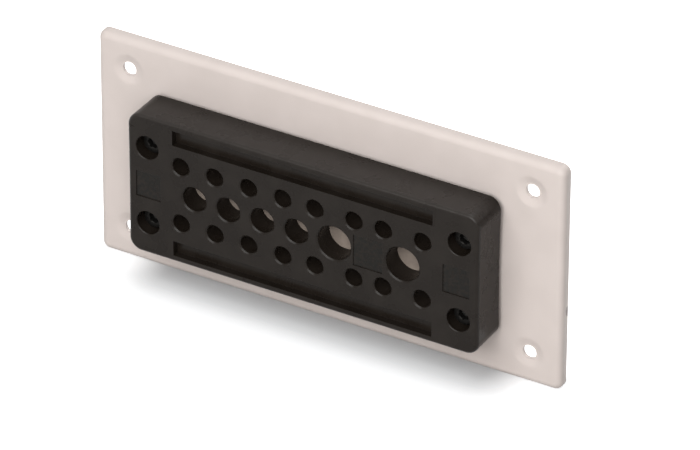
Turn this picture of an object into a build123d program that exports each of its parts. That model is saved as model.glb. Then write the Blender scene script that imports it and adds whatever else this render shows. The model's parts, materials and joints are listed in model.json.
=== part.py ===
from build123d import *
import os

# Cable entry plate: a black moulded housing with 22 cable holes, on a painted flange plate.
# Frame: X along the plate, +Z up, the front faces -Y.
# Origin: centre of the four corner holes, on the rear of their dished seats.
# Millimetres throughout. A level is a distance in front of the plane that meets the enclosure.

# Standard 24-pole cut-out: the rest of the part is set out from its edges
CUTOUT_LENGTH = 112.0
CUTOUT_HEIGHT = 36.0
CUTOUT_CORNER_RADIUS = 3.0

# Four housing screws, beyond the cut-out's ends and inside its height
SCREW_OUTSET_X = 9.0
SCREW_INSET_Z = 2.0
SCREW_HOLE_RADIUS = 2.75

# Flange plate: one sheet with its four edges folded back, wider than the housing by the margins
PLATE_MARGIN_X = 24.0
PLATE_MARGIN_Z = 17.8
PLATE_DEPTH = 4.6
SHEET_THICKNESS = 1.2
FOLD_RADIUS = 2.8
PLATE_CORNER_RADIUS = 3.2

# Corner holes of the flange plate, each in a dished seat
FIXING_INSET_X = 13.2
FIXING_INSET_Z = 12.9
FIXING_HOLE_RADIUS = 2.75
DISH_RADIUS = 6.2
DISH_FLOOR_RADIUS = 3.4
DISH_DEPTH = 0.9
DISH_BLEND = 1.0

# Foam gasket inside the folded rim
RIM_GASKET_CLEARANCE = 0.2
RIM_GASKET_LAND = 7.5
DISH_CLEARANCE = 1.0

# Flat gasket between the housing and the plate
HOUSING_GASKET_THICKNESS = 2.5
HOUSING_GASKET_INSET = 2.6
HOUSING_GASKET_MARGIN = 0.5

# Moulded housing
HOUSING_MARGIN_X = 8.2
HOUSING_MARGIN_Z = 13.1
HOUSING_DEPTH = 16.0
HOUSING_CORNER_RADIUS = 5.0
FRONT_SIDE_BOW = 0.1
REAR_SIDE_BOW = 0.5
FRONT_EDGE_RADIUS = 1.2
GRID_THICKNESS = 9.0
POCKET_MARGIN = 4.0
POCKET_CORNER_RADIUS = 4.0

# Cable holes: four columns at an even pitch on the left, two large holes with pairs on the right
SMALL_HOLE_RADIUS = 3.5
MEDIUM_HOLE_RADIUS = 4.9
LARGE_HOLE_RADIUS = 6.9
SMALL_ROW_INSET = 5.95
LEFT_COLUMN_INSET = 5.1
LEFT_COLUMN_LAST_X = -8.0
LEFT_COLUMN_COUNT = 4
MEDIUM_HOLE_SHIFT = 5.7
LARGE_HOLE_FIRST_X = 13.5
LARGE_HOLE_INSET = 14.2
RIGHT_PAIR_GAP = 12.1
HOLE_EDGE_CHAMFER = 0.55

# Long recesses along the housing's two long edges
RECESS_END_INSET = 1.8
RECESS_OUTSET = 2.4
RECESS_HEIGHT = 6.2
RECESS_DEPTH = 3.0

# Shallow square marking fields, one at each end between the screws and one in the middle
LEFT_FIELD_SHIFT = 0.4
RIGHT_FIELD_SHIFT = -1.0
LEFT_FIELD_SIZE = (10.4, 10.8)
MIDDLE_FIELD_SIZE = (12.2, 13.0)
RIGHT_FIELD_SIZE = (11.0, 11.6)
FIELD_DEPTH = 0.35

# Elastomer mat with one thin membrane behind each cable hole
MAT_THICKNESS = 3.0
MAT_CLEARANCE = 0.3
MEMBRANE_THICKNESS = 0.8
MEMBRANE_FLARE = 0.6

# Frame that holds the mat in the housing's pocket
RETAINER_CLEARANCE = 0.3
RETAINER_LIP = 0.7
RETAINER_WINDOW_RADIUS = 3.0
RETAINER_EDGE_CHAMFER = 0.5

# M5 socket cap screws, washers and flange nuts
SCREW_RADIUS = 2.5
SCREW_LENGTH = 16.0
SCREW_HEAD_RADIUS = 4.25
SCREW_HEAD_HEIGHT = 5.0
SCREW_HEAD_CHAMFER = 0.4
SOCKET_WIDTH = 4.0
SOCKET_DEPTH = 2.5
HEAD_RECESS = 4.3
COUNTERBORE_RADIUS = 4.75
COUNTERBORE_CHAMFER = 0.3
WASHER_RADIUS = 4.5
WASHER_BORE_RADIUS = 2.65
WASHER_THICKNESS = 1.0
THREAD_CLEARANCE = 0.05
NUT_WIDTH = 8.0
NUT_HEIGHT = 5.0
NUT_FLANGE_RADIUS = 5.9
NUT_FLANGE_THICKNESS = 1.2
NUT_CHAMFER = 0.5

# Outlines and pitches that follow from the values above
SCREW_PITCH_X = CUTOUT_LENGTH + 2 * SCREW_OUTSET_X
SCREW_PITCH_Z = CUTOUT_HEIGHT - 2 * SCREW_INSET_Z
HOUSING_LENGTH = SCREW_PITCH_X + 2 * HOUSING_MARGIN_X
HOUSING_HEIGHT = SCREW_PITCH_Z + 2 * HOUSING_MARGIN_Z
PLATE_LENGTH = HOUSING_LENGTH + 2 * PLATE_MARGIN_X
PLATE_HEIGHT = HOUSING_HEIGHT + 2 * PLATE_MARGIN_Z
FIXING_PITCH_X = PLATE_LENGTH - 2 * FIXING_INSET_X
FIXING_PITCH_Z = PLATE_HEIGHT - 2 * FIXING_INSET_Z
POCKET_LENGTH = CUTOUT_LENGTH + 2 * POCKET_MARGIN
POCKET_HEIGHT = CUTOUT_HEIGHT + 2 * POCKET_MARGIN
RECESS_LENGTH = CUTOUT_LENGTH - 2 * RECESS_END_INSET
RECESS_INNER_OFFSET = CUTOUT_HEIGHT / 2 + RECESS_OUTSET

# Levels that follow from the values above
SHEET_REAR_LEVEL = PLATE_DEPTH - SHEET_THICKNESS
SEAT_REAR_LEVEL = SHEET_REAR_LEVEL - DISH_DEPTH
HOUSING_REAR_LEVEL = PLATE_DEPTH + HOUSING_GASKET_THICKNESS
HOUSING_FRONT_LEVEL = HOUSING_REAR_LEVEL + HOUSING_DEPTH
GRID_REAR_LEVEL = HOUSING_FRONT_LEVEL - GRID_THICKNESS
MAT_REAR_LEVEL = GRID_REAR_LEVEL - MAT_THICKNESS
RETAINER_THICKNESS = MAT_REAR_LEVEL - HOUSING_REAR_LEVEL
HEAD_TOP_LEVEL = HOUSING_FRONT_LEVEL - HEAD_RECESS
WASHER_TOP_LEVEL = HEAD_TOP_LEVEL - SCREW_HEAD_HEIGHT
COUNTERBORE_DEPTH = HEAD_RECESS + SCREW_HEAD_HEIGHT + WASHER_THICKNESS

# Centres of the cable holes and marking fields
SMALL_ROW_OFFSET = CUTOUT_HEIGHT / 2 - SMALL_ROW_INSET
LEFT_COLUMN_FIRST_X = LEFT_COLUMN_INSET - CUTOUT_LENGTH / 2
LEFT_COLUMN_PITCH = (LEFT_COLUMN_LAST_X - LEFT_COLUMN_FIRST_X) / (LEFT_COLUMN_COUNT - 1)
LEFT_COLUMNS = [LEFT_COLUMN_FIRST_X + LEFT_COLUMN_PITCH * i for i in range(LEFT_COLUMN_COUNT)]
LARGE_HOLE_LAST_X = CUTOUT_LENGTH / 2 - LARGE_HOLE_INSET
LARGE_HOLE_X = (LARGE_HOLE_FIRST_X, LARGE_HOLE_LAST_X)
RIGHT_PAIR_OFFSET = (LARGE_HOLE_LAST_X - LARGE_HOLE_FIRST_X - RIGHT_PAIR_GAP) / 2
RIGHT_COLUMNS = [x + side * RIGHT_PAIR_OFFSET for x in LARGE_HOLE_X for side in (-1, 1)]
SMALL_HOLES = [
    (x, side * SMALL_ROW_OFFSET) for x in LEFT_COLUMNS + RIGHT_COLUMNS for side in (-1, 1)
]
MEDIUM_HOLES = [(x + MEDIUM_HOLE_SHIFT, 0) for x in LEFT_COLUMNS]
LARGE_HOLES = [(x, 0) for x in LARGE_HOLE_X]
CABLE_HOLES = [
    (SMALL_HOLE_RADIUS, SMALL_HOLES),
    (MEDIUM_HOLE_RADIUS, MEDIUM_HOLES),
    (LARGE_HOLE_RADIUS, LARGE_HOLES),
]
MARKING_FIELDS = [
    (LEFT_FIELD_SHIFT - SCREW_PITCH_X / 2, LEFT_FIELD_SIZE),
    ((LARGE_HOLE_FIRST_X + LARGE_HOLE_LAST_X) / 2, MIDDLE_FIELD_SIZE),
    (RIGHT_FIELD_SHIFT + SCREW_PITCH_X / 2, RIGHT_FIELD_SIZE),
]


def level(distance):
    """The plane at a distance in front of the enclosure, facing the front."""
    return Plane.XZ.offset(distance - SEAT_REAR_LEVEL)


def fixing_points():
    """The four corner holes of the flange plate."""
    return GridLocations(FIXING_PITCH_X, FIXING_PITCH_Z, 2, 2)


def screw_points():
    """The four screws that hold the housing."""
    return GridLocations(SCREW_PITCH_X, SCREW_PITCH_Z, 2, 2)


def bowed_outline(bow):
    """The housing's outline, its short sides drawn inwards by the bow."""
    half_length = HOUSING_LENGTH / 2
    half_height = HOUSING_HEIGHT / 2
    with BuildSketch() as outline:
        with BuildLine():
            Line((-half_length, half_height), (half_length, half_height))
            ThreePointArc(
                (half_length, half_height), (half_length - bow, 0), (half_length, -half_height)
            )
            Line((half_length, -half_height), (-half_length, -half_height))
            ThreePointArc(
                (-half_length, -half_height), (bow - half_length, 0), (-half_length, half_height)
            )
        make_face()
        fillet(outline.vertices(), HOUSING_CORNER_RADIUS)
    return outline.sketch


os.makedirs("parts", exist_ok=True)


# Flange plate: a shallow pan of sheet, with a dished seat round each corner hole
with BuildPart() as flange_plate:
    with BuildSketch(level(0)):
        RectangleRounded(PLATE_LENGTH, PLATE_HEIGHT, PLATE_CORNER_RADIUS)
    extrude(amount=PLATE_DEPTH)
    fillet(flange_plate.edges().group_by(Axis.Y)[0], FOLD_RADIUS)
    offset(amount=-SHEET_THICKNESS, openings=flange_plate.faces().sort_by(Axis.Y)[-1])
    with Locations(level(SHEET_REAR_LEVEL)):
        with fixing_points():
            Cone(
                DISH_FLOOR_RADIUS,
                DISH_RADIUS,
                DISH_DEPTH,
                align=(Align.CENTER, Align.CENTER, Align.MAX),
            )
    with Locations(level(PLATE_DEPTH)):
        with fixing_points():
            Cone(
                DISH_FLOOR_RADIUS,
                DISH_RADIUS,
                DISH_DEPTH,
                align=(Align.CENTER, Align.CENTER, Align.MAX),
                mode=Mode.SUBTRACT,
            )
    dish_rims = flange_plate.edges().filter_by(GeomType.CIRCLE)
    dish_rims = dish_rims.filter_by(lambda edge: abs(edge.radius - DISH_RADIUS) < DISH_CLEARANCE)
    fillet(dish_rims, DISH_BLEND)
    with BuildSketch(level(PLATE_DEPTH)):
        RectangleRounded(CUTOUT_LENGTH, CUTOUT_HEIGHT, CUTOUT_CORNER_RADIUS)
        with fixing_points():
            Circle(FIXING_HOLE_RADIUS)
        with screw_points():
            Circle(SCREW_HOLE_RADIUS)
    extrude(amount=-PLATE_DEPTH, mode=Mode.SUBTRACT)

flange_plate.part.label = "flange_plate"
export_step(flange_plate.part, "parts/flange_plate.step")


# Rim gasket: foam sheet behind the plate, cut clear of the four dished seats
rim_gasket_edge = 2 * (FOLD_RADIUS + RIM_GASKET_CLEARANCE)
with BuildPart() as rim_gasket:
    with BuildSketch(level(0)):
        RectangleRounded(
            PLATE_LENGTH - rim_gasket_edge, PLATE_HEIGHT - rim_gasket_edge, PLATE_CORNER_RADIUS
        )
        Rectangle(
            FIXING_PITCH_X - 2 * RIM_GASKET_LAND,
            FIXING_PITCH_Z - 2 * RIM_GASKET_LAND,
            mode=Mode.SUBTRACT,
        )
        with fixing_points():
            Circle(DISH_RADIUS + DISH_CLEARANCE, mode=Mode.SUBTRACT)
    extrude(amount=SHEET_REAR_LEVEL)

rim_gasket.part.label = "rim_gasket"
export_step(rim_gasket.part, "parts/rim_gasket.step")


# Housing gasket: flat seal between the housing and the plate
with BuildPart() as housing_gasket:
    with BuildSketch(level(PLATE_DEPTH)):
        RectangleRounded(
            HOUSING_LENGTH - 2 * HOUSING_GASKET_INSET,
            HOUSING_HEIGHT - 2 * HOUSING_GASKET_INSET,
            HOUSING_CORNER_RADIUS - HOUSING_GASKET_INSET,
        )
        RectangleRounded(
            CUTOUT_LENGTH + 2 * HOUSING_GASKET_MARGIN,
            CUTOUT_HEIGHT + 2 * HOUSING_GASKET_MARGIN,
            CUTOUT_CORNER_RADIUS,
            mode=Mode.SUBTRACT,
        )
        with screw_points():
            Circle(SCREW_HOLE_RADIUS, mode=Mode.SUBTRACT)
    extrude(amount=HOUSING_GASKET_THICKNESS)

housing_gasket.part.label = "housing_gasket"
export_step(housing_gasket.part, "parts/housing_gasket.step")


# Housing: moulded shell whose front is the grid of cable holes
with BuildPart() as housing:
    with BuildSketch(level(HOUSING_REAR_LEVEL)):
        add(bowed_outline(REAR_SIDE_BOW))
    with BuildSketch(level(HOUSING_FRONT_LEVEL)):
        add(bowed_outline(FRONT_SIDE_BOW))
    loft()
    fillet(housing.edges().group_by(Axis.Y)[0], FRONT_EDGE_RADIUS)
    with BuildSketch(level(HOUSING_REAR_LEVEL)):
        RectangleRounded(POCKET_LENGTH, POCKET_HEIGHT, POCKET_CORNER_RADIUS)
    extrude(amount=HOUSING_DEPTH - GRID_THICKNESS, mode=Mode.SUBTRACT)
    with BuildSketch(level(HOUSING_FRONT_LEVEL)):
        with GridLocations(0, 2 * RECESS_INNER_OFFSET + RECESS_HEIGHT, 1, 2):
            Rectangle(RECESS_LENGTH, RECESS_HEIGHT)
    extrude(amount=-RECESS_DEPTH, mode=Mode.SUBTRACT)
    with BuildSketch(level(HOUSING_FRONT_LEVEL)):
        for field_x, field_size in MARKING_FIELDS:
            with Locations((field_x, 0)):
                Rectangle(*field_size)
    extrude(amount=-FIELD_DEPTH, mode=Mode.SUBTRACT)
    with Locations(level(HOUSING_FRONT_LEVEL)):
        for hole_radius, hole_points in CABLE_HOLES:
            with Locations(hole_points):
                CounterSinkHole(
                    radius=hole_radius,
                    counter_sink_radius=hole_radius + HOLE_EDGE_CHAMFER,
                    depth=GRID_THICKNESS,
                    counter_sink_angle=90,
                )
        with screw_points():
            CounterSinkHole(
                radius=COUNTERBORE_RADIUS,
                counter_sink_radius=COUNTERBORE_RADIUS + COUNTERBORE_CHAMFER,
                depth=COUNTERBORE_DEPTH,
                counter_sink_angle=90,
            )
            Hole(radius=SCREW_HOLE_RADIUS, depth=HOUSING_DEPTH)

housing.part.label = "housing"
export_step(housing.part, "parts/housing.step")


# Membrane mat: soft sheet thinned from behind at each cable hole
with BuildPart() as membrane_mat:
    with BuildSketch(level(MAT_REAR_LEVEL)):
        RectangleRounded(
            POCKET_LENGTH - 2 * MAT_CLEARANCE,
            POCKET_HEIGHT - 2 * MAT_CLEARANCE,
            POCKET_CORNER_RADIUS - MAT_CLEARANCE,
        )
    extrude(amount=MAT_THICKNESS)
    with Locations(level(MAT_REAR_LEVEL)):
        for hole_radius, hole_points in CABLE_HOLES:
            with Locations(hole_points):
                Cone(
                    hole_radius,
                    hole_radius - MEMBRANE_FLARE,
                    MAT_THICKNESS - MEMBRANE_THICKNESS,
                    align=(Align.CENTER, Align.CENTER, Align.MIN),
                    mode=Mode.SUBTRACT,
                )

membrane_mat.part.label = "membrane_mat"
export_step(membrane_mat.part, "parts/membrane_mat.step")


# Retaining frame: presses the edge of the mat against the housing
with BuildPart() as retaining_frame:
    with BuildSketch(level(HOUSING_REAR_LEVEL)):
        RectangleRounded(
            POCKET_LENGTH - 2 * RETAINER_CLEARANCE,
            POCKET_HEIGHT - 2 * RETAINER_CLEARANCE,
            POCKET_CORNER_RADIUS - RETAINER_CLEARANCE,
        )
        RectangleRounded(
            CUTOUT_LENGTH - 2 * RETAINER_LIP,
            CUTOUT_HEIGHT - 2 * RETAINER_LIP,
            RETAINER_WINDOW_RADIUS,
            mode=Mode.SUBTRACT,
        )
    extrude(amount=RETAINER_THICKNESS)
    rear_face = retaining_frame.faces().sort_by(Axis.Y)[-1]
    chamfer(rear_face.inner_wires()[0].edges(), RETAINER_EDGE_CHAMFER)

retaining_frame.part.label = "retaining_frame"
export_step(retaining_frame.part, "parts/retaining_frame.step")


# Housing screws: four socket cap screws, sunk in the housing's counterbores
with BuildPart() as housing_screws:
    with Locations(level(WASHER_TOP_LEVEL)):
        with screw_points():
            Cylinder(
                SCREW_HEAD_RADIUS,
                SCREW_HEAD_HEIGHT,
                align=(Align.CENTER, Align.CENTER, Align.MIN),
            )
    chamfer(housing_screws.edges().group_by(Axis.Y)[0], SCREW_HEAD_CHAMFER)
    with Locations(level(WASHER_TOP_LEVEL)):
        with screw_points():
            Cylinder(
                SCREW_RADIUS,
                SCREW_LENGTH,
                align=(Align.CENTER, Align.CENTER, Align.MAX),
            )
    chamfer(housing_screws.edges().group_by(Axis.Y)[-1], SCREW_HEAD_CHAMFER)
    with BuildSketch(level(HEAD_TOP_LEVEL)):
        with screw_points():
            RegularPolygon(SOCKET_WIDTH / 2, 6, major_radius=False)
    extrude(amount=-SOCKET_DEPTH, mode=Mode.SUBTRACT)

housing_screws.part.label = "housing_screws"
export_step(housing_screws.part, "parts/housing_screws.step")


# Screw washers: one flat washer under each screw head
with BuildPart() as screw_washers:
    with BuildSketch(level(WASHER_TOP_LEVEL)):
        with screw_points():
            Circle(WASHER_RADIUS)
            Circle(WASHER_BORE_RADIUS, mode=Mode.SUBTRACT)
    extrude(amount=-WASHER_THICKNESS)

screw_washers.part.label = "screw_washers"
export_step(screw_washers.part, "parts/screw_washers.step")


# Flange nuts: four hexagon nuts with a flange, behind the plate
with BuildPart() as flange_nuts:
    with BuildSketch(level(SHEET_REAR_LEVEL)):
        with screw_points():
            RegularPolygon(NUT_WIDTH / 2, 6, major_radius=False)
    extrude(amount=-NUT_HEIGHT)
    chamfer(flange_nuts.edges().group_by(Axis.Y)[-1], NUT_CHAMFER)
    with BuildSketch(level(SHEET_REAR_LEVEL)):
        with screw_points():
            Circle(NUT_FLANGE_RADIUS)
    extrude(amount=-NUT_FLANGE_THICKNESS)
    with BuildSketch(level(SHEET_REAR_LEVEL)):
        with screw_points():
            Circle(SCREW_RADIUS + THREAD_CLEARANCE)
    extrude(amount=-NUT_HEIGHT, mode=Mode.SUBTRACT)

flange_nuts.part.label = "flange_nuts"
export_step(flange_nuts.part, "parts/flange_nuts.step")
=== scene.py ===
"""Finishes, small detail and studio for the cable entry plate.

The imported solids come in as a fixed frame, in metres: +X runs along the plate, +Z is up and the
cable holes face -Y. Each class below looks after one sub-assembly, builds the fine pieces that the
solids leave out and dresses everything in procedural finishes.
"""

import json
import logging
import math
from abc import ABC, abstractmethod
from collections.abc import Callable, Sequence
from dataclasses import dataclass
from enum import Enum
from functools import partial
from typing import TypeAlias

import bmesh
import bpy
from mathutils import Matrix, Vector


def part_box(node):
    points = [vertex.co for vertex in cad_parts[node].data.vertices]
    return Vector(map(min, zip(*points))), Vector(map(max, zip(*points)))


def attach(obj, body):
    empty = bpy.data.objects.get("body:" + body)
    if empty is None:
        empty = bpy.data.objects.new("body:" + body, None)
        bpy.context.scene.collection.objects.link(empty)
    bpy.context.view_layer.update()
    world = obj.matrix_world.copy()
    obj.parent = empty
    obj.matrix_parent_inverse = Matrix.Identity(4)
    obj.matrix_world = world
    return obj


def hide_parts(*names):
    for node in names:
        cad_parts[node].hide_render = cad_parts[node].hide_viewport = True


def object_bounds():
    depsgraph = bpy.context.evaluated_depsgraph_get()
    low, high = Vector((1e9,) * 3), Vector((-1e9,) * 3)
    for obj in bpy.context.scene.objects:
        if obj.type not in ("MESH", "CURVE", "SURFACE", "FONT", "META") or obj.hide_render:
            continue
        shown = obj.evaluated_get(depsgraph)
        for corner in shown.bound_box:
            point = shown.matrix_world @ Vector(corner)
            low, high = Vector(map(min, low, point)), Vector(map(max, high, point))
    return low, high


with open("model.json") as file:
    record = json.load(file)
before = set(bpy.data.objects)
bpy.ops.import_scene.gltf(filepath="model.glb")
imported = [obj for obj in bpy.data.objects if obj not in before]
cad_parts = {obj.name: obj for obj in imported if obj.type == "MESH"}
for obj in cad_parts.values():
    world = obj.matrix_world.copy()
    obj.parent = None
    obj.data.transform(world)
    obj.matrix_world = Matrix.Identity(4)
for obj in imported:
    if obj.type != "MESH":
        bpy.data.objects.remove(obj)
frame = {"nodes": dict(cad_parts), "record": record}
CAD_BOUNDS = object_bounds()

log = logging.getLogger("cable_entry_plate")

MM = 0.001
BOX_DECIMALS = 1
IMAGE_WIDTH = 700
BEVEL_SAMPLES = 4
WELD_DISTANCE = 0.0005

Colour: TypeAlias = tuple[float, float, float]
Point: TypeAlias = tuple[float, float, float]
Span: TypeAlias = tuple[float, float]
Shape: TypeAlias = Callable[[float], float]
Ring: TypeAlias = list[bmesh.types.BMVert]
Value: TypeAlias = "float | Wire"

BLACK: Colour = (0.0, 0.0, 0.0)
WHITE: Colour = (1.0, 1.0, 1.0)


@dataclass(frozen=True)
class NodeBox:
    """The box round a node's solids, in millimetres.

    Its front and rear are levels, which count forward from the rear of the fixing seats, and its
    top is a height above the plate's middle.
    """

    length: float
    depth: float
    height: float
    front: float
    rear: float
    top: float

    @classmethod
    def of(cls, node: str) -> "NodeBox":
        """Reads a node's box from the frame.

        Args:
            node: The node's name.

        Returns:
            Its box, rounded because round edges come in as short straight ones.
        """
        low, high = (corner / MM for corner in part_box(node))
        size = high - low
        values = (size.x, size.y, size.z, -low.y, -high.y, high.z)
        return cls(*(round(value, BOX_DECIMALS) for value in values))


PLATE = NodeBox.of("flange_plate")
HOUSING = NodeBox.of("housing")
PLAIN_SCREWS = NodeBox.of("housing_screws")
PLAIN_NUTS = NodeBox.of("flange_nuts")
FIXING = next(
    mount["dims"] for mount in frame["record"]["mounts"] if mount["name"] == "panel_fixing"
)


class Axis(Enum):
    """The part of a point or direction that is asked for."""

    X = "X"
    Y = "Y"
    Z = "Z"


class Wire:
    """A shader socket that can stand in a Python expression."""

    def __init__(self, shader: "Shader", socket: bpy.types.NodeSocket) -> None:
        """Keeps the socket and the shader that new nodes are added to.

        Args:
            shader: The shader that owns the socket.
            socket: The output socket to wrap.
        """
        self.shader = shader
        self.socket = socket

    def _math(self, operation: str, first: Value, second: Value) -> "Wire":
        """Adds one Math node.

        Args:
            operation: The node's operation.
            first: The first value or wire.
            second: The second value or wire.

        Returns:
            The node's result.
        """
        settings = {"operation": operation}
        return self.shader.out(self.shader.node("ShaderNodeMath", settings, {0: first, 1: second}))

    def __add__(self, other: Value) -> "Wire":
        """Adds a value or wire."""
        return self._math("ADD", self, other)

    def __radd__(self, other: Value) -> "Wire":
        """Adds to a value."""
        return self._math("ADD", other, self)

    def __sub__(self, other: Value) -> "Wire":
        """Takes a value or wire away."""
        return self._math("SUBTRACT", self, other)

    def __rsub__(self, other: Value) -> "Wire":
        """Is taken away from a value."""
        return self._math("SUBTRACT", other, self)

    def __mul__(self, other: Value) -> "Wire":
        """Multiplies by a value or wire."""
        return self._math("MULTIPLY", self, other)

    def __rmul__(self, other: Value) -> "Wire":
        """Multiplies a value."""
        return self._math("MULTIPLY", other, self)

    def size(self) -> "Wire":
        """Gives the value without its sign."""
        return self._math("ABSOLUTE", self, 0.0)

    def at_least(self, least: Value) -> "Wire":
        """Keeps the value from falling below another."""
        return self._math("MAXIMUM", self, least)

    def at_most(self, most: Value) -> "Wire":
        """Keeps the value from rising above another."""
        return self._math("MINIMUM", self, most)

    def diagonal(self, other: "Wire") -> "Wire":
        """Gives the length of the diagonal of two distances."""
        return self._math("SQRT", self * self + other * other, 0.0)

    def axis(self, axis: Axis) -> "Wire":
        """Gives one part of a point or direction."""
        node = self.shader.node("ShaderNodeSeparateXYZ", None, {0: self})
        return self.shader.out(node, axis.value)

    def ramp(self, low: float, high: float) -> "Wire":
        """Maps low..high smoothly to 0..1.

        Args:
            low: The value that becomes 0.
            high: The value that becomes 1.

        Returns:
            The mapped and clamped value.
        """
        node = self.shader.node(
            "ShaderNodeMapRange",
            {"interpolation_type": "SMOOTHSTEP", "clamp": True},
            {"Value": self, "From Min": low, "From Max": high},
        )
        return self.shader.out(node, "Result")


class Target(Enum):
    """What a shader can be made for, with the node that ends its tree."""

    MATERIAL = "ShaderNodeOutputMaterial"
    WORLD = "ShaderNodeOutputWorld"


class Blend(Enum):
    """What a mix is made of."""

    COLOUR = "RGBA"
    VECTOR = "VECTOR"


@dataclass(frozen=True)
class Grain:
    """A layer of cloudy noise: the size of its patches, its octaves and how strong they are."""

    size_mm: float
    detail: float = 2.0
    roughness: float = 0.5


class Shader:
    """The node tree of a material or of the world, built from a few plain calls."""

    def __init__(self, name: str, target: Target = Target.MATERIAL) -> None:
        """Makes a material or a world with an empty node tree.

        Args:
            name: Its name.
            target: What the shader is for.
        """
        group = bpy.data.materials if target is Target.MATERIAL else bpy.data.worlds
        self.owner = group.new(name)
        self.owner.use_nodes = True
        self.target = target
        self.tree = self.owner.node_tree
        self.tree.nodes.clear()

    def node(
        self,
        kind: str,
        settings: dict[str, object] | None = None,
        inputs: dict[str | int, object] | None = None,
    ) -> bpy.types.Node:
        """Adds a node, sets it and fills its sockets.

        Args:
            kind: The node's type.
            settings: Its properties, such as an operation, which are set first.
            inputs: Values or wires by socket name or number.

        Returns:
            The new node.
        """
        node = self.tree.nodes.new(kind)
        for name, value in (settings or {}).items():
            setattr(node, name, value)
        for key, value in (inputs or {}).items():
            socket = node.inputs[key]
            if isinstance(value, Wire):
                self.tree.links.new(value.socket, socket)
            elif socket.type == "RGBA":
                socket.default_value = (*value, 1.0)
            else:
                socket.default_value = value
        return node

    def out(self, node: bpy.types.Node, name: str | int = 0) -> Wire:
        """Wraps the output of a node that has the given name or number."""
        return Wire(self, node.outputs[name])

    def finish(self, surface: Wire) -> bpy.types.Material | bpy.types.World:
        """Ends the tree with the given shader and gives its material or world."""
        self.node(self.target.value, None, {"Surface": surface})
        return self.owner

    def seen(self) -> Wire:
        """Marks what is looked at.

        Returns:
            1 for a camera, glossy or transmission ray, and 0 for other light.
        """
        rays = self.node("ShaderNodeLightPath")
        kinds = ("Is Camera Ray", "Is Glossy Ray", "Is Transmission Ray")
        first, second, third = (self.out(rays, kind) for kind in kinds)
        return first.at_least(second).at_least(third)

    def facing_up(self) -> Wire:
        """Gives how far the surface faces up, from -1 to 1."""
        return self.out(self.node("ShaderNodeNewGeometry"), "Normal").axis(Axis.Z)

    def place(self) -> Wire:
        """Gives the point on the surface in the object's own metres."""
        return self.out(self.node("ShaderNodeTexCoord"), "Object")

    def noise(self, grain: Grain) -> Wire:
        """Adds cloudy noise.

        Args:
            grain: Its size and strength.

        Returns:
            A value around 0.5.
        """
        inputs = {
            "Vector": self.place(),
            "Scale": 1.0 / (grain.size_mm * MM),
            "Detail": grain.detail,
            "Roughness": grain.roughness,
        }
        return self.out(self.node("ShaderNodeTexNoise", None, inputs))

    def cells(self, size_mm: float) -> Wire:
        """Adds rounded cells, such as pores or grains.

        Args:
            size_mm: The size of a cell.

        Returns:
            The distance to the nearest cell's centre.
        """
        inputs = {"Vector": self.place(), "Scale": 1.0 / (size_mm * MM)}
        return self.out(self.node("ShaderNodeTexVoronoi", None, inputs), "Distance")

    def blend(
        self,
        factor: Wire,
        first: Colour | Wire,
        second: Colour | Wire,
        kind: Blend = Blend.COLOUR,
    ) -> Wire:
        """Mixes two colours or two vectors.

        Args:
            factor: The share of the second one.
            first: The one at 0.
            second: The one at 1.
            kind: What is mixed.

        Returns:
            The mix.
        """
        inputs = {"Factor": factor, "A": first, "B": second}
        return self.out(self.node("ShaderNodeMix", {"data_type": kind.value}, inputs), "Result")

    def bump(self, height: Wire, depth_mm: float, normal: Wire | None = None) -> Wire:
        """Turns a height into a normal.

        Args:
            height: The height, from 0 to 1.
            depth_mm: The real depth that 1 stands for.
            normal: A normal to start from.

        Returns:
            The bumped normal.
        """
        inputs: dict[str | int, object] = {
            "Height": height,
            "Strength": 1.0,
            "Distance": depth_mm * MM,
        }
        if normal is not None:
            inputs["Normal"] = normal
        return self.out(self.node("ShaderNodeBump", None, inputs))

    def soft_edges(self, radius_mm: float) -> Wire:
        """Rounds the sharp edges in the shading.

        Args:
            radius_mm: The radius that the edges seem to have.

        Returns:
            The rounded normal.
        """
        settings = {"samples": BEVEL_SAMPLES}
        return self.out(self.node("ShaderNodeBevel", settings, {"Radius": radius_mm * MM}))

    def surface(self, inputs: dict[str | int, object]) -> bpy.types.Material:
        """Ends the tree with one Principled shader.

        Args:
            inputs: Its sockets' values or wires.

        Returns:
            The finished material.
        """
        return self.finish(self.out(self.node("ShaderNodeBsdfPrincipled", None, inputs)))


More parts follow.
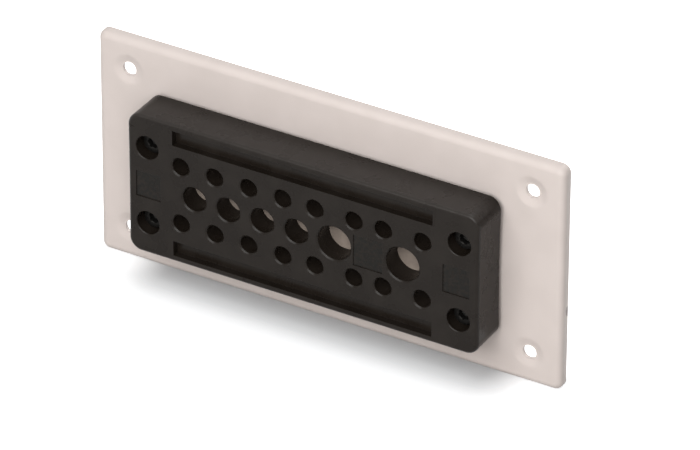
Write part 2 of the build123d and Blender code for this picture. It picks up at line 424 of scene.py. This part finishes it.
@dataclass(frozen=True)
class PowderCoat:
    """Light grey powder coat with a fine, slightly rolling texture.

    The dishes pressed round the fixing holes have soft rims, and one small chip at the rear edge
    of the right rim bares the primer. Places and sizes are in millimetres.
    """

    colour: Colour = (0.652, 0.580, 0.545)
    shade: Colour = (0.627, 0.557, 0.522)
    cloud: Grain = Grain(14.0)
    cloud_span: Span = (0.3, 0.7)
    roughness: float = 0.40
    roughness_play: float = 0.10
    specular: float = 0.25
    peel: Grain = Grain(0.55, 2.0, 0.6)
    drift: Grain = Grain(2.4, 1.0)
    drift_share: float = 0.6
    texture_depth: float = 0.012
    edge_radius: float = 0.15
    dish_x: float = FIXING["spacing_x_mm"] / 2
    dish_z: float = FIXING["spacing_y_mm"] / 2
    dish_from: float = 3.6
    dish_to: float = 9.0
    dish_fade: float = 1.0
    dish_softness: float = 2.4
    chip: Point = (PLATE.length / 2, 2.3, -14.2)
    chip_radius: float = 1.5
    chip_core: float = 0.75
    chip_stretch: float = 0.55
    chip_rag: Grain = Grain(1.1)
    chip_reach: Span = (2.0, 1.0)
    primer: Colour = (0.250, 0.205, 0.195)

    def _chipped(self, shader: Shader) -> Wire:
        """Marks the small chip on the rim's rear edge.

        Args:
            shader: The paint's shader.

        Returns:
            1 in the chip and 0 elsewhere.
        """
        place = shader.place()
        rim, middle, height = (value * MM for value in self.chip)
        radius = self.chip_radius * MM
        along = (place.axis(Axis.Z) - height) * self.chip_stretch
        away = along.diagonal(place.axis(Axis.Y) - middle)
        ragged = away + radius * (shader.noise(self.chip_rag) - 0.5)
        deep, shallow = (rim - reach * MM for reach in self.chip_reach)
        at_rim = place.axis(Axis.X).ramp(deep, shallow)
        return at_rim * (1.0 - ragged.ramp(self.chip_core * radius, radius))

    def _soft_normal(self, shader: Shader) -> Wire:
        """Rounds the edges finely, and the rims of the dishes widely.

        Args:
            shader: The paint's shader.

        Returns:
            The rounded normal.
        """
        place = shader.place()
        across = place.axis(Axis.X).size() - self.dish_x * MM
        up = place.axis(Axis.Z).size() - self.dish_z * MM
        distance = across.diagonal(up)
        inner, outer, fade = (
            size * MM for size in (self.dish_from, self.dish_to, self.dish_fade)
        )
        near = distance.ramp(inner, inner + fade) - distance.ramp(outer, outer + fade)
        fine = shader.soft_edges(self.edge_radius)
        wide = shader.soft_edges(self.dish_softness)
        return shader.blend(near, fine, wide, Blend.VECTOR)

    def material(self, name: str) -> bpy.types.Material:
        """Builds the paint.

        Args:
            name: The material's name.

        Returns:
            The material.
        """
        shader = Shader(name)
        cloud = shader.noise(self.cloud)
        peel = shader.noise(self.peel)
        texture = peel + self.drift_share * shader.noise(self.drift)
        paint = shader.blend(cloud.ramp(*self.cloud_span), self.colour, self.shade)
        return shader.surface(
            {
                "Base Color": shader.blend(self._chipped(shader), paint, self.primer),
                "Roughness": self.roughness + self.roughness_play * (peel - 0.5),
                "Specular IOR Level": self.specular,
                "Normal": shader.bump(texture, self.texture_depth, self._soft_normal(shader)),
            }
        )


@dataclass(frozen=True)
class MarkingField:
    """A shallow square field on the housing's front, half way up, in millimetres.

    It is given by its middle along X, its half length and its half height. The edge is the width
    over which its finish sets in.
    """

    middle: float
    half_length: float
    half_height: float
    edge: float = 0.2

    def mask(self, place: Wire) -> Wire:
        """Marks the field, seen along the cable holes.

        Args:
            place: The point on the surface.

        Returns:
            1 in the field and 0 elsewhere.
        """
        across = self.half_length * MM - (place.axis(Axis.X) - self.middle * MM).size()
        up = self.half_height * MM - place.axis(Axis.Z).size()
        return across.at_most(up).ramp(0.0, self.edge * MM)


@dataclass(frozen=True)
class MouldedPlastic:
    """Black plastic from a fine spark-eroded mould, painted lighter on what faces up as a painted
    highlight.

    The floors of the marking fields are duller and finely stippled. The painted highlight lies
    near the top and fades towards the rear, where the housing meets the plate. Sizes are in
    millimetres, and the finish of the fields ends at their reach below the front.
    """

    colour: Colour = (0.0120, 0.0088, 0.0066)
    rubbed: Colour = (0.0165, 0.0128, 0.0100)
    cloud: Grain = Grain(9.0, 3.0)
    rubbed_span: Span = (0.35, 0.75)
    roughness: float = 0.28
    roughness_play: float = 0.12
    specular: float = 0.14
    grain: Grain = Grain(0.16, 2.0, 0.7)
    grain_depth: float = 0.006
    edge_radius: float = 0.18
    # Painted highlight: a lighter colour on what faces up near the top, standing in for the light
    # the top face catches.
    painted_top_highlight: Colour = (0.036, 0.031, 0.028)
    painted_highlight_tilt: Span = (0.15, 0.75)
    painted_highlight_least: float = 0.64
    painted_highlight_play: float = 0.22
    painted_highlight_below_top: float = 2.6
    painted_highlight_rise: float = 1.0
    painted_highlight_fade: float = 9.0
    fields: tuple[MarkingField, ...] = ()
    field_colour: Colour = (0.0080, 0.0070, 0.0056)
    field_reach: float = 0.6
    field_step: float = 0.1
    stipple: Grain = Grain(1.1, 1.0)
    stipple_span: Span = (0.35, 0.6)
    stipple_depth: float = 0.05

    def _painted_top_highlight(self, shader: Shader, cloud: Wire) -> Wire:
        """Marks the painted highlight on what faces up.

        Args:
            shader: The plastic's shader.
            cloud: The noise that the painted highlight follows.

        Returns:
            The share of the painted highlight in the colour.
        """
        place = shader.place()
        low = (HOUSING.top - self.painted_highlight_below_top) * MM
        amount = self.painted_highlight_least + self.painted_highlight_play * cloud
        above = place.axis(Axis.Z).ramp(low, low + self.painted_highlight_rise * MM)
        rear = (place.axis(Axis.Y) + HOUSING.rear * MM).size()
        # Painted highlight: the more the surface faces up, the more of the lighter colour it gets.
        highlight_share = shader.facing_up().ramp(*self.painted_highlight_tilt) * amount
        return highlight_share * (above * rear.ramp(0.0, self.painted_highlight_fade * MM))

    def _in_fields(self, shader: Shader) -> Wire:
        """Marks the floors of the marking fields.

        Args:
            shader: The plastic's shader.

        Returns:
            1 on the floors and 0 elsewhere.
        """
        place = shader.place()
        mask: Value = 0.0
        for marking in self.fields:
            mask = mask + marking.mask(place)
        front = -(HOUSING.front - self.field_reach) * MM
        return mask * (front - place.axis(Axis.Y)).ramp(0.0, self.field_step * MM)

    def material(self, name: str) -> bpy.types.Material:
        """Builds the plastic.

        Args:
            name: The material's name.

        Returns:
            The material.
        """
        shader = Shader(name)
        cloud = shader.noise(self.cloud)
        soft = shader.soft_edges(self.edge_radius)
        normal = shader.bump(shader.noise(self.grain), self.grain_depth, soft)
        bare = shader.blend(cloud.ramp(*self.rubbed_span), self.colour, self.rubbed)
        # Paints the lighter colour on what faces up, a painted highlight.
        tone = shader.blend(self._painted_top_highlight(shader, cloud), bare, self.painted_top_highlight)
        if self.fields:
            mask = self._in_fields(shader)
            stipple = shader.noise(self.stipple)
            dull = mask * stipple.ramp(*self.stipple_span)
            tone = shader.blend(dull, tone, self.field_colour)
            normal = shader.bump(mask * stipple, self.stipple_depth, normal)
        return shader.surface(
            {
                "Base Color": tone,
                "Roughness": self.roughness + self.roughness_play * (cloud - 0.5),
                "Specular IOR Level": self.specular,
                "Normal": normal,
            }
        )


@dataclass(frozen=True)
class Elastomer:
    """Grey soft rubber of the membranes, lightly dusted; sizes are in millimetres."""

    colour: Colour = (0.212, 0.173, 0.145)
    dusty: Colour = (0.248, 0.204, 0.171)
    cloud: Grain = Grain(3.5, 3.0)
    dusty_span: Span = (0.35, 0.7)
    roughness: float = 0.62
    roughness_play: float = 0.10
    specular: float = 0.35
    grain: Grain = Grain(0.25)
    grain_depth: float = 0.008

    def material(self, name: str) -> bpy.types.Material:
        """Builds the rubber.

        Args:
            name: The material's name.

        Returns:
            The material.
        """
        shader = Shader(name)
        dusted = shader.noise(self.cloud).ramp(*self.dusty_span)
        grain = shader.noise(self.grain)
        return shader.surface(
            {
                "Base Color": shader.blend(dusted, self.colour, self.dusty),
                "Roughness": self.roughness + self.roughness_play * (grain - 0.5),
                "Specular IOR Level": self.specular,
                "Normal": shader.bump(grain, self.grain_depth),
            }
        )


@dataclass(frozen=True)
class SealingSheet:
    """Flat gasket sheet: closed pores in foam, or a fine grain on rubber, in millimetres."""

    colour: Colour = (0.024, 0.024, 0.025)
    pore_colour: Colour = (0.010, 0.010, 0.011)
    pore_size: float = 0.55
    pore_depth: float = 0.10
    wall_span: Span = (0.15, 0.62)
    fine_size: float = 0.45
    fine_share: float = 0.35
    roughness: float = 0.85
    roughness_play: float = 0.10
    specular: float = 0.25

    def material(self, name: str) -> bpy.types.Material:
        """Builds the gasket.

        Args:
            name: The material's name.

        Returns:
            The material.
        """
        shader = Shader(name)
        wall = shader.cells(self.pore_size).ramp(*self.wall_span)
        fine = shader.cells(self.fine_size * self.pore_size)
        return shader.surface(
            {
                "Base Color": shader.blend(wall, self.pore_colour, self.colour),
                "Roughness": self.roughness + self.roughness_play * (fine - 0.5),
                "Specular IOR Level": self.specular,
                "Normal": shader.bump(wall + self.fine_share * fine, self.pore_depth),
            }
        )


@dataclass(frozen=True)
class Steel:
    """Screw steel in two close tones, finely scratched; sizes are in millimetres."""

    colour: Colour
    lighter: Colour
    metallic: float
    roughness: float
    roughness_play: float = 0.16
    spangle: Grain = Grain(0.9, 3.0, 0.6)
    spangle_span: Span = (0.4, 0.75)
    scratch: Grain = Grain(0.12)
    scratch_depth: float = 0.004
    edge_radius: float = 0.08

    def material(self, name: str) -> bpy.types.Material:
        """Builds the steel.

        Args:
            name: The material's name.

        Returns:
            The material.
        """
        shader = Shader(name)
        spangle = shader.noise(self.spangle)
        scratch = shader.noise(self.scratch)
        soft = shader.soft_edges(self.edge_radius)
        light = spangle.ramp(*self.spangle_span)
        return shader.surface(
            {
                "Base Color": shader.blend(light, self.colour, self.lighter),
                "Metallic": self.metallic,
                "Roughness": self.roughness + self.roughness_play * (spangle - 0.5),
                "Normal": shader.bump(scratch, self.scratch_depth, soft),
            }
        )


class ScrewSteel(Enum):
    """The two finishes of the fasteners' steel."""

    BLACK_OXIDE = Steel(
        colour=(0.016, 0.015, 0.014), lighter=(0.024, 0.022, 0.020), metallic=0.85, roughness=0.56
    )
    ZINC = Steel(
        colour=(0.52, 0.53, 0.55), lighter=(0.62, 0.63, 0.65), metallic=1.0, roughness=0.36
    )


def circle(steps: int, level: Shape | float, radius: Shape | float) -> list[Point]:
    """Gives one ring of points about the Y axis, in millimetres.

    Args:
        steps: The number of points.
        level: How far the ring lies in front of the seats' rear, fixed or by angle.
        radius: The ring's radius, fixed or by angle.

    Returns:
        The points.
    """
    points = []
    for step in range(steps):
        angle = math.tau * step / steps
        front = level(angle) if callable(level) else level
        size = radius(angle) if callable(radius) else radius
        points.append((size * math.cos(angle), -front, size * math.sin(angle)))
    return points


def hexagon_radius(width: float, angle: float) -> float:
    """Gives the radius of a hexagon at an angle.

    Args:
        width: The hexagon's width across flats.
        angle: The angle in radians.

    Returns:
        The distance from the middle to the edge.
    """
    sector = math.pi / 3
    return width / 2 / math.cos(angle % sector - sector / 2)


class Mesh:
    """A mesh under construction, in millimetres, made of rings of points."""

    def __init__(self) -> None:
        """Starts with an empty mesh."""
        self.bm = bmesh.new()

    def ring(self, points: Sequence[Point]) -> Ring:
        """Adds a ring of points and gives its vertices."""
        return [self.bm.verts.new(Vector(point) * MM) for point in points]

    def skin(self, first: Ring, second: Ring) -> None:
        """Joins two closed rings of the same length with quads.

        Args:
            first: One ring.
            second: The next ring.
        """
        count = len(first)
        for index in range(count):
            after = (index + 1) % count
            self.bm.faces.new((first[index], first[after], second[after], second[index]))

    def tube(self, rings: Sequence[Ring]) -> None:
        """Joins each ring to the next one.

        Args:
            rings: The rings, in order.
        """
        for before, after in zip(rings, rings[1:]):
            self.skin(before, after)

    def cap(self, ring: Ring, tip: Point) -> None:
        """Closes a ring with a fan to one point.

        Args:
            ring: The ring to close.
            tip: The fan's middle.
        """
        middle = self.bm.verts.new(Vector(tip) * MM)
        count = len(ring)
        for index in range(count):
            self.bm.faces.new((ring[index], ring[(index + 1) % count], middle))

    def finish(self, name: str, smooth_angle: float) -> bpy.types.Object:
        """Turns the mesh into an object.

        Args:
            name: The object's name.
            smooth_angle: Edges sharper than this many degrees stay sharp.

        Returns:
            The new object.
        """
        bmesh.ops.remove_doubles(self.bm, verts=self.bm.verts, dist=WELD_DISTANCE * MM)
        bmesh.ops.recalc_face_normals(self.bm, faces=self.bm.faces)
        limit = math.radians(smooth_angle)
        for face in self.bm.faces:
            face.smooth = True
        for edge in self.bm.edges:
            if len(edge.link_faces) == 2 and edge.calc_face_angle(0.0) > limit:
                edge.smooth = False
        data = bpy.data.meshes.new(name)
        self.bm.to_mesh(data)
        self.bm.free()
        return add_object(name, data)


def add_object(name: str, data: bpy.types.ID) -> bpy.types.Object:
    """Adds an object to the scene.

    Args:
        name: The object's name.
        data: Its mesh, lamp or camera.

    Returns:
        The new object.
    """
    item = bpy.data.objects.new(name, data)
    bpy.context.scene.collection.objects.link(item)
    return item


def dress(item: bpy.types.Object, material: bpy.types.Material) -> bpy.types.Object:
    """Gives an object one material in every slot.

    Args:
        item: The object.
        material: Its finish.

    Returns:
        The same object.
    """
    if not item.material_slots:
        item.data.materials.append(material)
    for slot in item.material_slots:
        slot.material = material
    return item


@dataclass(frozen=True)
class FastenerSet:
    """Four like fasteners at the housing's corners, each turned its own way, in degrees.

    Their widest radius, in millimetres, tells how far they stand apart in the node's box.
    """

    node: str
    slot: str
    radius: float
    first_turn: float
    turn_step: float

    def _spread(self, pattern: bpy.types.Object) -> list[bpy.types.Object]:
        """Sets a fastener and three copies at the corners.

        Args:
            pattern: The fastener, built about the origin; its name ends in _1.

        Returns:
            The four fasteners.
        """
        items = [pattern]
        for number in (2, 3, 4):
            items.append(add_object(pattern.name.replace("_1", f"_{number}"), pattern.data.copy()))
        box = NodeBox.of(self.node)
        pitch_x, pitch_z = (size - 2 * self.radius for size in (box.length, box.height))
        corners = [(x, z) for z in (-0.5, 0.5) for x in (-0.5, 0.5)]
        for index, (item, (x, z)) in enumerate(zip(items, corners)):
            angle = math.radians(self.first_turn + self.turn_step * index)
            place = Vector((x * pitch_x, 0.0, z * pitch_z)) * MM
            turn = Matrix.Rotation(angle, 4, "Y")
            item.data.transform(Matrix.Translation(place) @ turn)
        return items

    def fit(
        self, pattern: bpy.types.Object, material: bpy.types.Material
    ) -> list[bpy.types.Object]:
        """Fits four fasteners in place of the plain ones.

        Args:
            pattern: The fastener, built about the origin; its name ends in _1.
            material: Its finish.

        Returns:
            The four fasteners.
        """
        items = self._spread(pattern)
        for item in items:
            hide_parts(self.node)
            dress(item, material)
            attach(item, "root")
        return items


class SubAssembly(ABC):
    """A part of the model that builds and dresses its own pieces."""

    @abstractmethod
    def build(self) -> list[bpy.types.Object]:
        """Builds and dresses the pieces.

        Returns:
            The pieces, in the order in which they are made.
        """


@dataclass
class FlangePlate(SubAssembly):
    """The folded and painted plate with its foam gasket."""

    paint: PowderCoat = PowderCoat()
    foam: SealingSheet = SealingSheet()

    def build(self) -> list[bpy.types.Object]:
        """Dresses the plate and the foam behind it.

        Returns:
            The two pieces.
        """
        return [
            dress(frame["nodes"]["flange_plate"], self.paint.material("plate_paint")),
            dress(frame["nodes"]["rim_gasket"], self.foam.material("gasket_foam")),
        ]


@dataclass
class CableHousing(SubAssembly):
    """The moulded housing with its membranes, retaining frame and flat gasket."""

    plastic: MouldedPlastic = MouldedPlastic(
        fields=(
            MarkingField(middle=-64.6, half_length=5.2, half_height=5.4),
            MarkingField(middle=27.65, half_length=6.1, half_height=6.5),
            MarkingField(middle=64.0, half_length=5.5, half_height=5.8),
        )
    )
    inner_plastic: MouldedPlastic = MouldedPlastic(
        colour=(0.020, 0.020, 0.021), rubbed=(0.028, 0.028, 0.029), roughness=0.55
    )
    rubber: Elastomer = Elastomer()
    sheet: SealingSheet = SealingSheet(
        colour=(0.020, 0.019, 0.019), pore_size=0.25, pore_depth=0.01, roughness=0.7
    )

    def build(self) -> list[bpy.types.Object]:
        """Dresses the housing and what it holds.

        Returns:
            The four pieces.
        """
        return [
            dress(frame["nodes"]["housing"], self.plastic.material("housing_plastic")),
            dress(frame["nodes"]["retaining_frame"], self.inner_plastic.material("frame_plastic")),
            dress(frame["nodes"]["membrane_mat"], self.rubber.material("mat_elastomer")),
            dress(frame["nodes"]["housing_gasket"], self.sheet.material("gasket_rubber")),
        ]


@dataclass
class HousingScrews(SubAssembly):
    """Four M5 socket cap screws with a knurled head and a rolled thread.

    Sizes are in millimetres, and levels are distances in front of the fixing seats' rear. The
    head's edge and foot are pairs of a distance from its top or underside and an inset from its
    radius.
    """

    head_top_level: float = PLAIN_SCREWS.front
    head_height: float = 5.0
    head_radius: float = 4.25
    head_edge: tuple[Span, ...] = ((0.0, 0.40), (0.12, 0.18), (0.30, 0.12))
    head_foot: tuple[Span, ...] = ((0.12, 0.18), (0.0, 0.35))
    knurl_depth: float = 0.12
    knurl_count: int = 36
    knurl_below_top: float = 0.55
    knurl_above_base: float = 0.45
    socket_width: float = 4.0
    socket_depth: float = 2.5
    socket_draft: float = 0.98
    socket_cone: float = 0.7
    mouth_share: float = 0.565
    mouth_depth: float = 0.25
    shank_radius: float = 2.5
    shank_length: float = PLAIN_SCREWS.depth - head_height
    neck_inset: float = 0.05
    thread_pitch: float = 0.8
    thread_depth: float = 0.42
    thread_width: float = 0.42
    thread_play: float = 0.02
    thread_run_out: float = 1.6
    tip_length: float = 0.8
    tip_chamfer: float = 0.5
    rows_per_turn: int = 8
    steps: int = 72
    smooth_angle: float = 30.0
    corners: FastenerSet = FastenerSet(
        node="housing_screws",
        slot="screw_steel",
        radius=head_radius,
        first_turn=17.0,
        turn_step=23.0,
    )

    def _knurl(self, angle: float) -> float:
        """Gives the knurled head's radius at an angle."""
        wave = 0.5 - 0.5 * math.cos(self.knurl_count * angle)
        return self.head_radius - self.knurl_depth * wave

    def _socket(self, angle: float) -> float:
        """Gives the socket's radius at an angle."""
        return hexagon_radius(self.socket_width, angle)

    def _socket_floor(self, angle: float) -> float:
        """Gives the radius of the socket's floor at an angle."""
        return self.socket_draft * self._socket(angle)

    def _mouth(self, angle: float) -> float:
        """Gives the radius of the chamfered mouth of the socket at an angle."""
        return max(self._socket(angle), self.mouth_share * self.socket_width)

    def _thread(self, depth: float, angle: float) -> float:
        """Gives the shank's radius: the thread runs out under the head and the tip is chamfered.

        Args:
            depth: The depth under the head.
            angle: The angle in radians.

        Returns:
            The radius.
        """
        phase = (depth / self.thread_pitch + angle / math.tau) % 1.0
        groove = max(0.0, 1.0 - abs(phase - 0.5) / self.thread_width)
        fade = min(1.0, depth / self.thread_run_out)
        past = max(0.0, depth - (self.shank_length - self.tip_length)) / self.tip_length
        full = self.shank_radius - self.thread_play
        return min(full - self.thread_depth * groove * fade, full - self.tip_chamfer * past)

    def _head(self, mesh: Mesh) -> Ring:
        """Builds the head.

        Args:
            mesh: The mesh to add to.

        Returns:
            The ring under the head, where the shank starts.
        """
        top = self.head_top_level
        base = top - self.head_height
        floor = top - self.socket_depth
        rows: list[tuple[float, Shape | float]] = [
            (floor, self._socket_floor),
            (top - self.mouth_depth, self._socket),
            (top, self._mouth),
            *((top - down, self.head_radius - inset) for down, inset in self.head_edge),
            (top - self.knurl_below_top, self._knurl),
            (base + self.knurl_above_base, self._knurl),
            *((base + up, self.head_radius - inset) for up, inset in self.head_foot),
            (base, self.shank_radius - self.neck_inset),
        ]
        rings = [mesh.ring(circle(self.steps, level, radius)) for level, radius in rows]
        mesh.cap(rings[0], (0.0, -(floor - self.socket_cone), 0.0))
        mesh.tube(rings)
        return rings[-1]

    def _shank(self, mesh: Mesh, start: Ring) -> None:
        """Builds the threaded shank down from the head.

        Args:
            mesh: The mesh to add to.
            start: The ring under the head.
        """
        base = self.head_top_level - self.head_height
        rows = round(self.shank_length / self.thread_pitch * self.rows_per_turn)
        rings = [start]
        for row in range(1, rows + 1):
            depth = self.shank_length * row / rows
            points = circle(self.steps, base - depth, partial(self._thread, depth))
            rings.append(mesh.ring(points))
        mesh.tube(rings)
        mesh.cap(rings[-1], (0.0, -(base - self.shank_length), 0.0))

    def build(self) -> list[bpy.types.Object]:
        """Builds the four screws in place of the plain ones, and dresses their washers.

        Returns:
            The screws and the washers.
        """
        steel = ScrewSteel.BLACK_OXIDE.value.material("screw_steel")
        mesh = Mesh()
        self._shank(mesh, self._head(mesh))
        screws = self.corners.fit(mesh.finish("housing_screw_1", self.smooth_angle), steel)
        return [*screws, dress(frame["nodes"]["screw_washers"], steel)]


@dataclass
class FlangeNuts(SubAssembly):
    """Four crowned hexagon nuts with a flange, behind the plate, in millimetres.

    The flange's edge is pairs of a depth behind the seat and an inset from its radius, and the
    crown's shares are of half the width across flats.
    """

    seat_level: float = PLAIN_NUTS.front
    width: float = 8.0
    height: float = PLAIN_NUTS.depth
    flange_radius: float = 5.9
    flange_thickness: float = 1.2
    flange_edge: tuple[Span, ...] = ((0.0, 0.35), (0.15, 0.05), (0.45, 0.0), (0.70, 0.12))
    foot: float = 0.25
    crown_angle: float = 30.0
    crown_share: float = 0.97
    crown_flat_share: float = 0.96
    bore_radius: float = 2.55
    bore_chamfer: float = 0.35
    steps: int = 96
    smooth_angle: float = 24.0
    corners: FastenerSet = FastenerSet(
        node="flange_nuts",
        slot="zinc_steel",
        radius=flange_radius,
        first_turn=8.0,
        turn_step=19.0,
    )

    def _hexagon(self, angle: float) -> float:
        """Gives the hexagon's radius at an angle."""
        return hexagon_radius(self.width, angle)

    def _side_end(self, angle: float) -> float:
        """Gives the level at which the crown cuts the side at an angle.

        Args:
            angle: The angle in radians.

        Returns:
            The level.
        """
        beyond = self._hexagon(angle) - self.crown_share * self.width / 2
        cut = beyond * math.tan(math.radians(self.crown_angle))
        return self.seat_level - (self.height - cut)

    def _pattern(self) -> bpy.types.Object:
        """Builds one nut about its own axis.

        Returns:
            The nut.
        """
        seat = self.seat_level
        end = seat - self.height
        side = seat - self.flange_thickness
        corner = self.width / math.sqrt(3)
        mouth = self.bore_radius + self.bore_chamfer
        rows: list[tuple[Shape | float, Shape | float]] = [
            (seat, mouth),
            *((seat - depth, self.flange_radius - inset) for depth, inset in self.flange_edge),
            (side, corner + self.foot),
            (side - self.foot, self._hexagon),
            (self._side_end, self._hexagon),
            (end, self.crown_flat_share * self.width / 2),
            (end, mouth),
            (end + self.bore_chamfer, self.bore_radius),
            (seat - self.bore_chamfer, self.bore_radius),
        ]
        mesh = Mesh()
        rings = [mesh.ring(circle(self.steps, level, radius)) for level, radius in rows]
        mesh.tube([*rings, rings[0]])
        return mesh.finish("flange_nut_1", self.smooth_angle)

    def build(self) -> list[bpy.types.Object]:
        """Builds the four nuts in place of the plain ones.

        Returns:
            The nuts.
        """
        return self.corners.fit(self._pattern(), ScrewSteel.ZINC.value.material("zinc_steel"))


@dataclass(frozen=True)
class Softbox:
    """A square soft lamp that faces the object, in metres.

    A strength of 1 lights a white card at the object fully white.
    """

    name: str
    place: Point
    size: float
    strength: float

    def hang(self) -> bpy.types.Object:
        """Adds the lamp.

        Returns:
            The lamp.
        """
        data = bpy.data.lights.new(self.name, "AREA")
        data.shape = "SQUARE"
        data.size = self.size
        data.energy = self.strength * math.pi**2 * Vector(self.place).length ** 2
        item = add_object(self.name, data)
        item.location = self.place
        item.rotation_euler = (-Vector(self.place)).to_track_quat("-Z", "Y").to_euler()
        return item


@dataclass(frozen=True)
class WhiteFloor:
    """Pale floor that keeps the plate's cast shadow near its foot and shows white further off.

    Near the foot a darker colour and a held-back glow add painted shadow, and behind the plate a
    painted glow lifts the floor to white over the lamps' shadow. Sizes are in metres, and each
    span is where its glow or colour sets in and is full. What is seen of the floor is lighter than
    what it throws back at the object.
    """

    level: float = CAD_BOUNDS[0].z
    size: float = 12.0
    bounce: Colour = (0.40, 0.39, 0.38)
    # The foot colour is painted shadow: the floor shows it close to the plate's foot and the shown
    # colour further off.
    foot: Colour = (0.58, 0.59, 0.60)
    shown: Colour = (0.755, 0.765, 0.775)
    painted_foot_shadow_span: Span = (0.0, 0.009)
    # Holding the glow back near the plate's foot paints a shadow there; it is full past the span
    # below.
    glow: float = 0.50
    painted_shadow_glow_span: Span = (0.004, 0.022)
    # Behind the plate this glow is painted light that whitens the lamps' shadow; far off it makes
    # the floor evenly white.
    behind_and_far_glow: float = 0.80
    painted_light_behind_span: Span = (0.004, 0.014)
    far_span: Span = (0.12, 0.50)
    # The painted shadow follows a strip this long each way from the middle, just in front of the
    # plate.
    shade_half_length: float = 0.066
    shade_depth: float = -0.003

    def _glow(self, place: Wire, distance: Wire) -> Wire:
        """Gives how far the floor shows white: near the plate's foot the glow is held back, which
        paints a shadow there, and behind the plate it paints the floor white over the lamps'
        shadow.

        Args:
            place: The point on the floor.
            distance: Its distance from the strip that the plate stands on.

        Returns:
            The share of the full glow.
        """
        total = self.glow + self.behind_and_far_glow
        # Painted light: behind the plate the floor glows white over the lamps' shadow.
        white_behind_and_far = place.axis(Axis.Y).ramp(*self.painted_light_behind_span)
        white_behind_and_far = white_behind_and_far.at_least(distance.ramp(*self.far_span))
        # Painted shadow: the near glow is held back close to the plate's foot.
        near = (self.glow / total) * distance.ramp(*self.painted_shadow_glow_span)
        return near + (self.behind_and_far_glow / total) * white_behind_and_far

    def material(self, name: str) -> bpy.types.Material:
        """Builds the floor's finish.

        Args:
            name: The material's name.

        Returns:
            The material.
        """
        shader = Shader(name)
        seen = shader.seen()
        place = shader.place()
        across = (place.axis(Axis.X).size() - self.shade_half_length).at_least(0.0)
        distance = across.diagonal(place.axis(Axis.Y) - self.shade_depth)
        # Painted shadow: a darker colour on the floor near the plate's foot.
        shown = shader.blend(distance.ramp(*self.painted_foot_shadow_span), self.foot, self.shown)
        glow = self._glow(place, distance)
        return shader.surface(
            {
                "Base Color": shader.blend(seen, self.bounce, shown),
                "Roughness": 1.0,
                "Specular IOR Level": 0.0,
                "Emission Color": shader.blend(glow * seen, BLACK, WHITE),
                "Emission Strength": self.glow + self.behind_and_far_glow,
            }
        )

    def lay(self, name: str) -> bpy.types.Object:
        """Lays the floor that the plate stands on.

        Args:
            name: The floor's name.

        Returns:
            The floor.
        """
        half = self.size / 2
        corners = [(-half, -half), (half, -half), (half, half), (-half, half)]
        mesh = bpy.data.meshes.new(name)
        mesh.from_pydata([(x, y, self.level) for x, y in corners], [], [(0, 1, 2, 3)])
        item = dress(add_object(name, mesh), self.material(name))
        return item


@dataclass(frozen=True)
class PhotoCamera:
    """The camera at the photograph's angle, in metres, degrees and pixels of the photograph."""

    azimuth: float = 29.96
    elevation: float = 31.96
    roll: float = 0.24
    distance: float = 2.453
    target: Point = (0.02031, -0.0206, 0.01009)
    focal_pixels: float = 6844.0
    sensor_mm: float = 36.0
    clip: Span = (0.05, 50.0)

    def _axes(self) -> tuple[Vector, Vector, Vector]:
        """Works out how the camera stands.

        Returns:
            The directions of its right, its top and its back.
        """
        azimuth = math.radians(self.azimuth)
        elevation = math.radians(self.elevation)
        roll = math.radians(self.roll)
        level = math.cos(elevation)
        back = Vector(
            (math.sin(azimuth) * level, -math.cos(azimuth) * level, math.sin(elevation))
        )
        level_right = Vector((math.cos(azimuth), math.sin(azimuth), 0.0))
        level_up = back.cross(level_right)
        right = level_right * math.cos(roll) + level_up * math.sin(roll)
        up = level_up * math.cos(roll) - level_right * math.sin(roll)
        return right, up, back

    def stand(self, name: str) -> bpy.types.Object:
        """Sets up the camera and makes it the scene's own.

        Args:
            name: The camera's name.

        Returns:
            The camera.
        """
        data = bpy.data.cameras.new(name)
        data.sensor_width = self.sensor_mm
        data.lens = self.focal_pixels * self.sensor_mm / IMAGE_WIDTH
        data.clip_start, data.clip_end = self.clip
        right, up, back = self._axes()
        turn = Matrix((right, up, back)).transposed().to_4x4()
        place = Vector(self.target) + back * self.distance
        item = add_object(name, data)
        item.matrix_world = Matrix.Translation(place) @ turn
        bpy.context.scene.camera = item
        return item


@dataclass
class Studio(SubAssembly):
    """White floor, even room, soft light and the camera, in metres."""

    floor: WhiteFloor = WhiteFloor()
    room_strength: float = 0.03
    room_shown: float = 1.0
    lamps: tuple[Softbox, ...] = (
        Softbox("right_softbox", (0.595, -1.474, 0.845), 1.15, 0.67),
        Softbox("left_softbox", (-0.12, -1.34, 1.15), 1.15, 0.58),
        Softbox("top_softbox", (0.0, -0.27, 1.76), 0.9, 0.02),
        Softbox("rear_softbox", (0.0, 0.76, 1.63), 0.9, 0.30),
        Softbox("back_softbox", (0.35, 1.62, 0.62), 0.9, 0.50),
    )
    camera: PhotoCamera = PhotoCamera()

    def _fill_room(self) -> None:
        """Fills the room with even white light and shows it as white."""
        shader = Shader("studio_room", Target.WORLD)
        room, shown = (
            shader.out(
                shader.node("ShaderNodeBackground", None, {"Color": WHITE, "Strength": strength})
            )
            for strength in (self.room_strength, self.room_shown)
        )
        choice = shader.node("ShaderNodeMixShader", None, {0: shader.seen(), 1: room, 2: shown})
        bpy.context.scene.world = shader.finish(shader.out(choice))

    def build(self) -> list[bpy.types.Object]:
        """Builds the whole studio.

        Returns:
            The floor, the lamps and the camera.
        """
        items = [self.floor.lay("studio_floor")]
        self._fill_room()
        items.extend(lamp.hang() for lamp in self.lamps)
        items.append(self.camera.stand("photo_camera"))
        bpy.context.scene.view_settings.view_transform = "Standard"
        return items


def main() -> None:
    """Builds the sub-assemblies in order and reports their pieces."""
    logging.basicConfig(level=logging.INFO, format="%(name)s: %(message)s")
    assemblies: tuple[SubAssembly, ...] = (
        FlangePlate(),
        CableHousing(),
        HousingScrews(),
        FlangeNuts(),
        Studio(),
    )
    for assembly in assemblies:
        for item in assembly.build():
            log.info("%s: %s", type(assembly).__name__, item.name)


if __name__ == "__main__":
    main()
